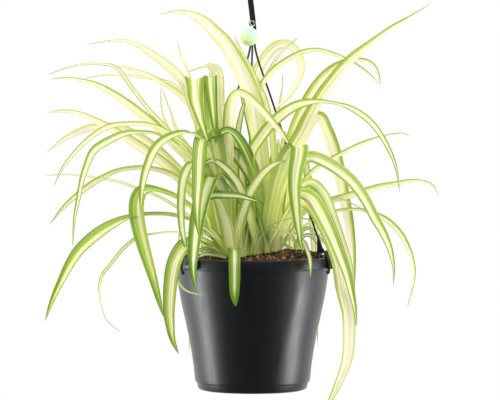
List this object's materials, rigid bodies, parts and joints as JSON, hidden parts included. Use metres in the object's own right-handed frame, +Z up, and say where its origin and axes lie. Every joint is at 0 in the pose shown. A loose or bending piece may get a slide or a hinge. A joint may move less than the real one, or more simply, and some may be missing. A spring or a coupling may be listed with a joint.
{
  "type": "potted spider plant",
  "caption": "Variegated spider plant with long arching striped leaves in a black tapered pot, on a black hanger with a hook, a small ring and a pale green ball charm.",
  "frame": {"origin": "the hanging point: the top of the inside of the hook's bend, where a rail or a ceiling hook carries it", "axes": "+Z up, the way the pot hangs; -Y towards the picture's viewer; +X to the picture's right. The pot's axis is parallel to Z, 3 mm to the right of the origin, and its rim is 291.5 mm below it."},
  "size_m": [0.3926, 0.3075, 0.4487],
  "materials": {
    "leaf": "fresh leaf, satin, green margins and a cream centre stripe",
    "pot": "satin black moulded plastic",
    "soil": "moist peat, matt and crumbly",
    "hanger": "satin black moulded plastic",
    "ring": "bright wire",
    "charm": "pale green, slightly see-through, glossy"
  },
  "bodies": {
    "root": {"rosette_front": "leaf", "rosette_offset": "leaf", "rosette_back_left": "leaf", "rosette_back_right": "leaf", "pot": "pot", "soil": "soil", "hanger_hook": "hanger", "hanger_leg_right": "hanger", "hanger_leg_back": "hanger", "hanger_leg_left": "hanger", "charm_ring": "ring", "charm_ball": "charm"}
  },
  "joints": []
}
